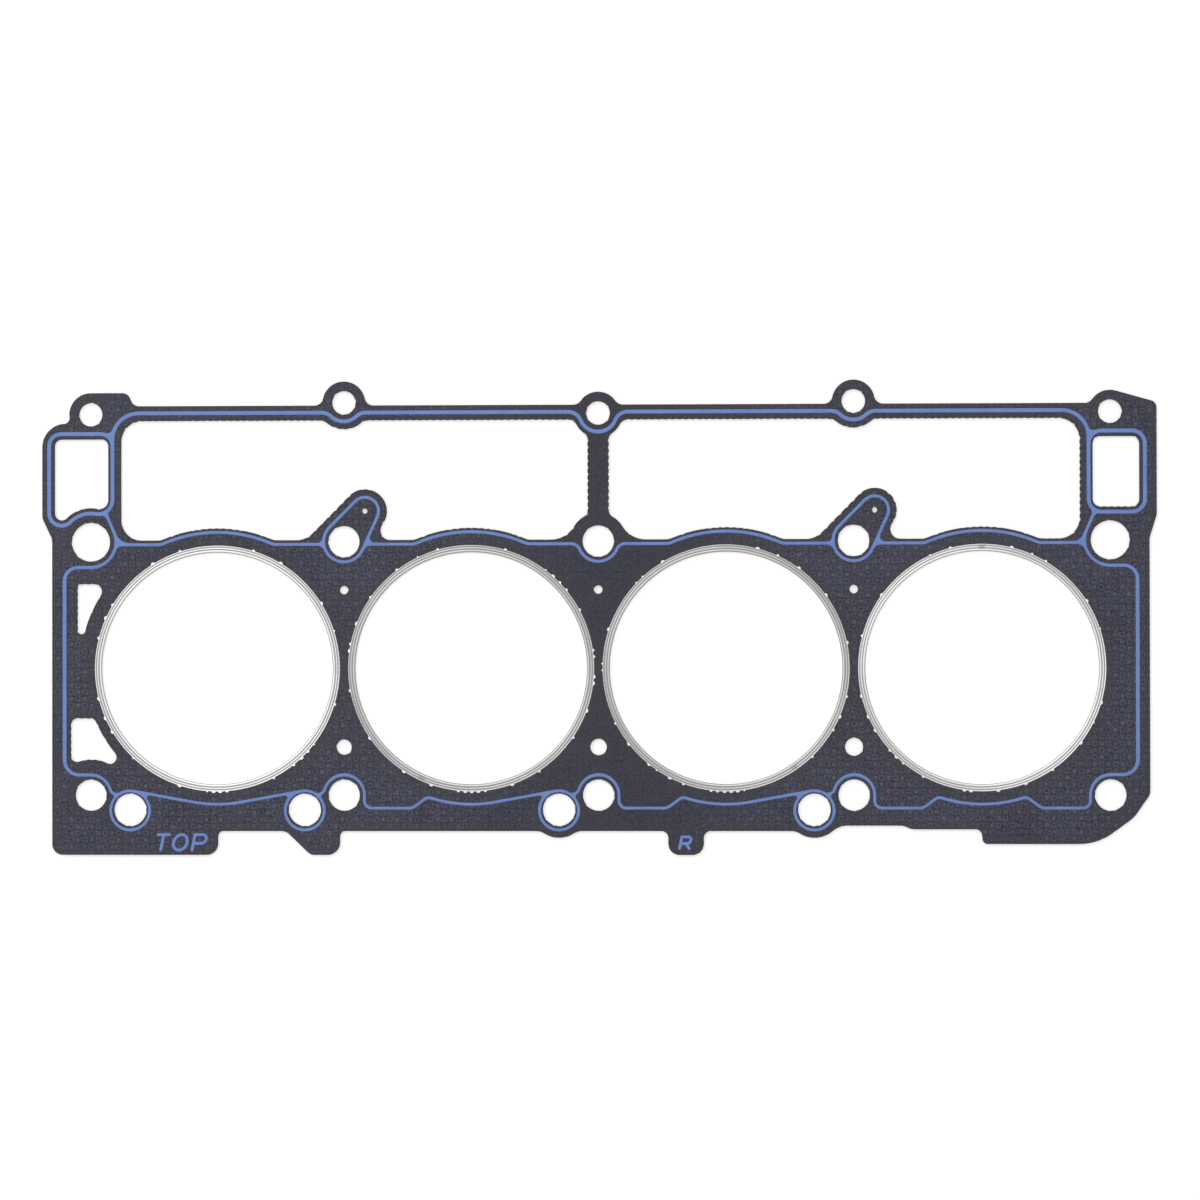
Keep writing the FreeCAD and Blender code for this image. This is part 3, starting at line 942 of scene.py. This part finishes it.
def lower_route():
    """From the left end round the lower side to the right end."""
    bolt, drain = (first, -bolt_row), (drains[0], drain_y)
    nook = between(bolt, bolt_r + drain_fillet, drain, drain_r + drain_fillet, 1)
    flat_y = bolt_r - bolt_row
    stops = [
        (end_left_x + end_bottom_r, flat_y + end_bottom_r, end_bottom_r),
        (*bolt, -bolt_r),
        (*nook, drain_fillet),
        (*drain, -drain_r),
        (bores[0], 0, skirt_bore_r),
    ]
    for bore, column, drain_x in zip(bores[1:], columns[1:], drains[1:]):
        stops += drain_to_bolt(drain_x, column) + step_up(bore, 1) + [(bore, 0, skirt_bore_r)]
    stops += step_up(bores[-1], -1)[::-1]
    stops += [
        (last - bolt_r - skirt_fillet, skirt_y + skirt_fillet, skirt_fillet),
        (last, -bolt_row, -bolt_r),
        (end_right_x - end_bottom_r, flat_y + end_bottom_r, end_bottom_r),
    ]
    return stops


# %% Routes of the deck, the rail and the vents
def deck_route():
    """From the right end along the deck to the left end."""
    flat_y = bolt_row - dowel_r
    roots = []
    for column, side, dip in ((last, -1, right_root["dip"]), (first, 1, left_root["dip"])):
        level = deck_y - dip
        roots.append((column + side * beside(bolt_row, dowel_r + dip, level), level, dip))
    level = deck_y + hump_fillet
    hump = beside(0, deck_hump_r + hump_fillet, level)
    low = deck_y - bolt_fillet
    dip = beside(bolt_row, bolt_r + bolt_fillet, low)
    stops = [
        (end_right_x - end_top_r, flat_y - end_top_r, end_top_r),
        (last, bolt_row, -dowel_r),
        roots[0],
    ]
    for bore, bolt in zip(bores[::-1], columns[-2::-1]):
        stops += [(bore + hump, level, -hump_fillet), (bore, 0, deck_hump_r)]
        stops += [(bore - hump, level, -hump_fillet)]
        if bolt != first:
            stops += [(bolt + dip, low, bolt_fillet), (bolt, bolt_row, -bolt_r)]
            stops += [(bolt - dip, low, bolt_fillet)]
    stops += [roots[1], (first, bolt_row, -dowel_r)]
    return stops + [(end_left_x + end_top_r, flat_y - end_top_r, end_top_r)]


def rail_route():
    """Along the rail, with the tops of both posts, rightwards."""
    corner = rail_corner_r
    post_end_y = (rail_y + deck_y) / 2
    stops = [(left_post_x, post_end_y, 0), (left_post_x + corner, rail_y - corner, -corner)]
    level = rail_y - rail_fillet
    for number, bolt in enumerate(columns[1:-1]):
        bolt_y = low_rail_y if number % 2 else high_rail_y
        reach = beside(bolt_y, rail_bolt_r + rail_fillet, level)
        stops += [(bolt - reach, level, -rail_fillet), (bolt, bolt_y, rail_bolt_r)]
        stops += [(bolt + reach, level, -rail_fillet)]
    stops += [(right_post_x - corner, rail_y - corner, -corner)]
    return stops + [(right_post_x, post_end_y, 0)]


def left_vent_route():
    """Round the left breather window, with the post on its right."""
    lobe_x = left_vent_x + left_vent_lobe_r
    root_x = left_post_x - left_vent_root_r
    top = vent_top_y - vent_corner_r
    lobe = math.sqrt((vent_pad_r + left_vent_lobe_r) ** 2 - (lobe_x - first) ** 2)
    root = math.sqrt((vent_pad_r + left_vent_root_r) ** 2 - (root_x - first) ** 2)
    return [
        (lobe_x, bolt_row + lobe, left_vent_lobe_r),
        (first, bolt_row, -vent_pad_r),
        (root_x, bolt_row + root, left_vent_root_r),
        (left_post_x - vent_corner_r, top, vent_corner_r),
        (left_vent_x + vent_corner_r, top, vent_corner_r),
    ]


def right_vent_route():
    """Round the right breather window, with the post on its left."""
    corner = right_vent_corner_r
    left, right = right_post_x + corner, right_vent_x - corner
    bottom, top = right_vent_bottom_y + corner, vent_top_y - corner
    corners = ((left, bottom), (right, bottom), (right, top), (left, top))
    return [(x, y, corner) for x, y in corners]


def post_roots(side, column, corner, fillet):
    """Two bands that tie the deck to the lower corner of a vent, side 1 with the deck right.

    One runs round the dowel bolt first, and the other leaves the deck by a bend.
    """
    reach = side * corner[2] * math.cos(root_angle)
    end = (corner[0] + reach, corner[1] - corner[2] * math.sin(root_angle), 0)
    bolt = (column, bolt_row, side * dowel_r)
    level = deck_y + fillet
    bend_x = lean_on(bolt, end, -side * fillet, level)
    start = (column - side * root_start, bolt_row - dowel_r, 0)
    return [
        [start, bolt, end],
        [(bend_x + side * fillet, deck_y, 0), (bend_x, level, -side * fillet), end],
    ]


# %% [markdown]
# ## Letters
#
# Two plain marks are printed with the bead: TOP, which tells the fitter which face goes
# up, and R for the side of the engine. They are made of strokes, so the same belts draw
# them: a plain point has no radius, and a bowl is a turn round one circle. All lean to the
# right by the same slant.

# %% Strokes of the letters
slant = math.tan(math.radians(12))
stroke_half = 0.70
top_mark = {"base": -80.9, "height": 6.9, "bowl": 1.95}
side_mark = {"base": -80.1, "height": 5.1, "bowl": 1.45}


def lean(points, base):
    """Shear to the right, leaving the base line where it is."""
    return points + np.stack([(points[:, 1] - base) * slant, np.zeros(len(points))], 1)


def stem_and_bowl(left, reach, base, height, bowl):
    """A stem, and a bowl that hangs from its top and turns round a circle at that reach."""
    top = base + height
    foot = top - 2 * bowl
    stops = [(left, top, 0), (left + reach, top - bowl, -bowl), (left, foot, 0)]
    return [belt([(left, base, 0), (left, top, 0)], False), belt(stops, False)]


def letter_strokes():
    """Belts of the letters T, O, P and R, at their places on the sheet. The O is an ellipse."""
    base, height = top_mark["base"], top_mark["height"]
    top = base + height
    turns = np.linspace(0, whole_turn, 100)
    across, up = 3.05 * np.cos(turns), height / 2 * np.sin(turns)
    strokes = [
        belt([(-28.0, top, 0), (-22.85, top, 0)], False),
        belt([(-25.4, top, 0), (-25.4, base, 0)], False),
        np.stack([across - 17.3, up + top - height / 2], 1),
    ]
    strokes += stem_and_bowl(-11.4, 3.4, **top_mark)
    letters = [lean(stroke, base) for stroke in strokes]
    base, left = side_mark["base"], 205.8
    foot = base + side_mark["height"] - 2 * side_mark["bowl"]
    strokes = stem_and_bowl(left, 2.9, **side_mark)
    strokes.append(belt([(left + 2.2, foot, 0), (left + 4.3, base, 0)], False))
    return letters + [lean(stroke, base) for stroke in strokes]


# %% [markdown]
# ## One skin for all bands
#
# Where bands meet, the wet silicone runs together: forks are filled and inner corners are
# round. A height field shows that best. On a fine grid each node gets its distance to the
# nearest route, less half the band's width, so that zero is the band's edge. A ball is then
# rolled round the outside: its centre stays where the field is larger than its radius, and
# whatever it can't reach belongs to the bead. Straight bands keep their width, forks fill.

# %% Distance field and contours
grid_step = 0.40
grid_low = np.array([-80.0, -88.0])
grid_shape = (1256, 541)
field_reach = 3.4


def spread(points, half):
    """Distance from each grid node to the nearest point, less that point's half width."""
    field = np.full(grid_shape, field_reach)
    home = np.rint((points - grid_low) / grid_step).astype(int)
    cells = math.ceil(field_reach / grid_step)
    half = np.broadcast_to(half, len(points))
    for i in range(-cells, cells + 1):
        for j in range(-cells, cells + 1):
            node = home + (i, j)
            away = np.hypot(*(grid_low + node * grid_step - points).T)
            np.minimum.at(field, (node[:, 0], node[:, 1]), away - half)
    return field


def contour(field, level):
    """Points where the field passes a level on the grid's lines, and the edges between them.

    A grid line whose ends lie on different sides holds one point, in proportion. In each
    cell the points on its four sides are joined in pairs.
    """
    height = field - level
    inside = height < 0
    across = inside[:-1, :] != inside[1:, :]
    along = inside[:, :-1] != inside[:, 1:]
    i, j = np.nonzero(across)
    share = height[i, j] / (height[i, j] - height[i + 1, j])
    on_across = np.stack([i + share, j], 1)
    i, j = np.nonzero(along)
    share = height[i, j] / (height[i, j] - height[i, j + 1])
    on_along = np.stack([i, j + share], 1)
    points = grid_low + np.concatenate([on_across, on_along]) * grid_step
    across_number = np.full(across.shape, -1)
    across_number[across] = np.arange(len(on_across))
    along_number = np.full(along.shape, -1)
    along_number[along] = np.arange(len(on_along)) + len(on_across)
    sides = (across_number[:, :-1], along_number[1:], across_number[:, 1:], along_number[:-1])
    sides = np.stack(sides, 2).reshape(-1, 4)
    used = (sides >= 0).sum(1)
    simple = sides[used == 2]
    saddle = sides[used == 4]
    pairs = [simple[simple >= 0].reshape(-1, 2), saddle[:, :2], saddle[:, 2:]]
    return points, np.concatenate(pairs)


def rolled(field, ball):
    """Fill every place that a ball rolled round the outside can't reach."""
    reached, _ = contour(field, ball)
    return np.where(field < ball, ball - spread(reached, 0.0), field)


# %% The field of the bead
upper_ball = 2.0
lower_ball = 0.8
drain_points = 300


def width_along(points):
    """Half width of the long belt: broad up both ends, slimmer along the deck and skirt."""
    levels = (-52.0, -40.0, 38.0, 48.0)
    widths = (bead_width, post_width, post_width, deck_width)
    return np.interp(points[:, 1], levels, widths) / 2


long_belt = belt(lower_route() + deck_route())
upper_bands = [(long_belt[long_belt[:, 1] > 0], deck_width / 2)]
upper_bands.append((belt(rail_route(), False), post_width / 2))
upper_bands.append((belt(left_vent_route()), post_width / 2))
upper_bands.append((belt(right_vent_route()), post_width / 2))
for side, column, corner, root in (
    (1, first, left_vent_route()[2], left_root),
    (-1, last, right_vent_route()[0], right_root),
):
    for stops in post_roots(side, column, corner, root["fillet"]):
        upper_bands.append((belt(stops, False), deck_width / 2))
for column in (columns[1], columns[3]):
    loop = [(column, bolt_row, bolt_r), (column + ear_aside, bolt_row + ear_rise, ear_r)]
    upper_bands.append((belt(loop), deck_width / 2))
upper = np.minimum.reduce([spread(points, half) for points, half in upper_bands])
upper = np.minimum(rolled(upper, upper_ball), spread(long_belt, width_along(long_belt)))
turns = np.linspace(0, whole_turn, drain_points)
circle = np.stack([np.cos(turns), np.sin(turns)], 1) * drain_r
lower_bands = [spread(circle + (x, drain_y), bead_width / 2) for x in drains]
lower_bands.append(spread(long_belt[long_belt[:, 1] < 0], bead_width / 2))
lower = rolled(np.minimum.reduce(lower_bands), lower_ball)
letters = np.minimum.reduce([spread(stroke, stroke_half) for stroke in letter_strokes()])
bands = np.minimum(upper, lower)
print("bead field: long belt %.0f mm" % (len(long_belt) * belt_step))

# %% [markdown]
# ## The bead's skin and finish
#
# Contours of the field at four depths give the points, and each depth has its height on
# an elliptic crown, as a drop has. The under side has the same bands without the letters,
# which only the upper face needs, so each print has a skin of its own. The silicone is a
# milky mid blue with a soft gloss; fine bubbles and dust make pale flecks. Its colour is
# paler along the crown and deeper towards the edge: a painted highlight on the crown.

# %% Bead finish
bead_height = 0.07
bead_sink = 0.004
crown_half = 0.62
crown_depths = (0.0, 0.09, 0.28, 0.50)
silicone_deep = (0.100, 0.180, 0.470, 1.0)
silicone_milky_and_highlight = (0.188, 0.296, 0.655, 1.0)
silicone_fleck = (0.32, 0.42, 0.72, 1.0)
fleck_level = 0.58


def bead_finish():
    """Blue silicone, soft gloss, with a painted highlight along the crown, and pale flecks.

    The share of milky blue is 0.35, with up to 0.40 more on the crown as a painted highlight,
    give or take a soft cloud. A fleck is where a fine noise passes fleck_level.
    """
    finish = Finish(bpy.data.materials.new("printed_silicone"))
    place = finish.node("TexCoord", output="Object")
    crown = finish.mark("crown")
    cloud = finish.noise(place, 120.0, 3.0)
    fleck = (finish.noise(place, 1300.0, 2.0) - fleck_level).clamp() * 4.0
    # Painted highlight: the crown mark makes the blue paler along the top of the bead.
    milk_and_highlight = (0.35 + crown * 0.40 + (cloud - 0.5) * 0.9).clamp()
    body = finish.blend(milk_and_highlight, silicone_deep, silicone_milky_and_highlight)
    body = finish.blend(fleck.clamp() * 0.5, body, silicone_fleck)
    height = finish.noise(place, 700.0, 2.0)
    bump = finish.node("Bump", None, {"Strength": 0.3, "Distance": 0.00006, "Height": height})
    shader = finish.node("BsdfPrincipled", None, {
        "Base Color": body,
        "Roughness": 0.36 + 0.2 * cloud,
        "Specular IOR Level": 0.35,
        "Normal": bump,
    })
    return finish.close(shader)


# %% Laying the bead on both faces
def bead_skin(field):
    """Points, faces and heights of the bead, and which faces belong to its flat foot.

    At depth d the height is sqrt(1 - (1 - d / crown_half)^2), from 0 at the edge to 1. In
    a narrow tip crown and foot can hold the same triangle. Such a pair has nothing between
    it, so both go, and the skin stays closed.
    """
    layers = [contour(field, -depth) for depth in crown_depths]
    foot_count = len(layers[0][0])
    edges = layers[0][1]
    flat_points = np.concatenate([points for points, _ in layers])
    depth = np.repeat(crown_depths, [len(points) for points, _ in layers])
    rise = np.sqrt(1 - (1 - np.minimum(depth / crown_half, 1)) ** 2)
    top_faces = fill(flat_points, edges)
    foot_faces = fill(flat_points[:foot_count], edges)[:, ::-1]
    faces = np.concatenate([top_faces, foot_faces])
    corners = np.sort(faces, 1)
    _, kind, times = np.unique(corners, axis=0, return_inverse=True, return_counts=True)
    single = times[kind.ravel()] == 1
    foot = np.arange(len(faces)) >= len(top_faces)
    print("bead skin: %d faces, %d doubled ones left out" % (single.sum(), (~single).sum()))
    return flat_points, faces[single], rise, foot[single]


def lay_bead(name, field, face_z, side, finish):
    """One print: side 1 stands up from face_z, side -1 hangs down from it."""
    flat_points, faces, rise, foot = bead_skin(field)
    height = face_z + side * (rise * bead_height - bead_sink)
    points = np.column_stack([flat_points, height])
    faces = faces if side > 0 else faces[:, ::-1]
    bead = make_piece(name, points, faces, finish, foot, crown=rise)
    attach(bead, "root")


silicone = bead_finish()
lay_bead("bead_top", np.minimum(bands, letters), sheet_top, 1, silicone)
lay_bead("bead_under", bands, sheet_low, -1, silicone)

# %% [markdown]
# ## Floor, light and camera
#
# The part lies on a plain pale floor. The world and one large soft lamp light it at a level
# at which a colour renders about as it is written. The camera and the shiny rings see the
# world brighter than it shines, and they see a glow on the floor that makes it white. Both
# are bound to those rays, so neither adds light to the matt surfaces, and the floor keeps
# the part's shadow.

# %% Floor and world
floor_half = 6000.0
floor_shade = 0.80
floor_glow = 0.44
world_shade = 0.80
world_level = 0.68


def pale_floor():
    """Matt floor with a glow of its own for camera rays and glossy rays."""
    finish = Finish(bpy.data.materials.new("pale_floor"))
    rays = finish.node("LightPath")
    seen = rays.out("Is Camera Ray").math("MAXIMUM", rays.out("Is Glossy Ray"))
    matt = finish.node("BsdfDiffuse", None, {"Color": grey(floor_shade)})
    glow = finish.node("Emission", None, {"Color": grey(1.0), "Strength": seen * floor_glow})
    material = finish.close(finish.node("AddShader", None, {0: matt, 1: glow}))
    corners = np.array([(-1, -1, 0), (1, -1, 0), (1, 1, 0), (-1, 1, 0)]) * floor_half
    floor = make_piece("floor", corners, np.array([[0, 1, 2, 3]]), material, np.array([True]))


def studio_world():
    """Even soft light, seen at full strength by the camera, by gloss and through glass.

    The strength is 1 on such a ray and world_level on any other.
    """
    world = bpy.data.worlds.new("studio")
    bpy.context.scene.world = world
    finish = Finish(world)
    rays = finish.node("LightPath")
    seen = rays.out("Is Camera Ray")
    for kind in ("Is Glossy Ray", "Is Transmission Ray"):
        seen = seen.math("MAXIMUM", rays.out(kind))
    strength = world_level + (1 - world_level) * seen
    light = finish.node("Background", None, {"Color": grey(world_shade), "Strength": strength})
    finish.close(light, "OutputWorld")


# %% Lamp
lamp_place = (-0.8, 1.1, 1.9)
lamp_size = 3.0
lamp_power = 28.0


def soft_lamp():
    """Square lamp above the part's upper left, facing its middle, in metres and watts."""
    middle = (cad_box[0] + cad_box[1]) / 2
    place = Vector((middle.x, middle.y, 0)) + Vector(lamp_place)
    lamp = bpy.data.lights.new("key", "AREA")
    lamp.shape = "SQUARE"
    lamp.size = lamp_size
    lamp.energy = lamp_power
    holder = bpy.data.objects.new("key", lamp)
    bpy.context.scene.collection.objects.link(holder)
    holder.location = place
    holder.rotation_euler = (middle - place).to_track_quat("-Z", "Y").to_euler()
    print("lamp at %.2f %.2f %.2f m" % tuple(place))


pale_floor()
studio_world()
soft_lamp()

# %% [markdown]
# ## The camera
#
# The photograph was taken straight down, from far away, with the part a little off the
# lens's axis. The camera's three tilts and its place were found by fitting the circles of
# the four bores and the holes.

# %% Camera
camera_distance = 1.5
camera_aside = (0.170539, 0.030575)
camera_tilts = (-0.4485, -1.7270, 0.0997)
sensor_width = 36.0
focal_pixels = 3362.05
frame_pixels = 1200
farthest = 20.0


def photo_camera():
    """Camera at the photograph's place, looking down along its own axis.

    The three tilts, multiplied in order, take a direction of the world into the camera's
    own axes, so the camera is turned by their inverse. The focal length is to the sensor's
    width as focal_pixels is to frame_pixels.
    """
    tilt = Matrix.Identity(3)
    for degrees, axis in zip(camera_tilts, "XYZ"):
        tilt = tilt @ Matrix.Rotation(math.radians(degrees), 3, axis)
    to_world = tilt.transposed()
    lens = bpy.data.cameras.new("camera")
    lens.sensor_width = sensor_width
    lens.lens = sensor_width * focal_pixels / frame_pixels
    lens.clip_end = farthest
    camera = bpy.data.objects.new("camera", lens)
    bpy.context.scene.collection.objects.link(camera)
    place = to_world @ Vector((*camera_aside, camera_distance))
    camera.matrix_world = Matrix.Translation(place) @ to_world.to_4x4()
    bpy.context.scene.camera = camera
    print("camera at %.3f %.3f %.3f m, lens %.1f mm" % (*place, lens.lens))


photo_camera()
bpy.context.scene.view_settings.view_transform = "Standard"
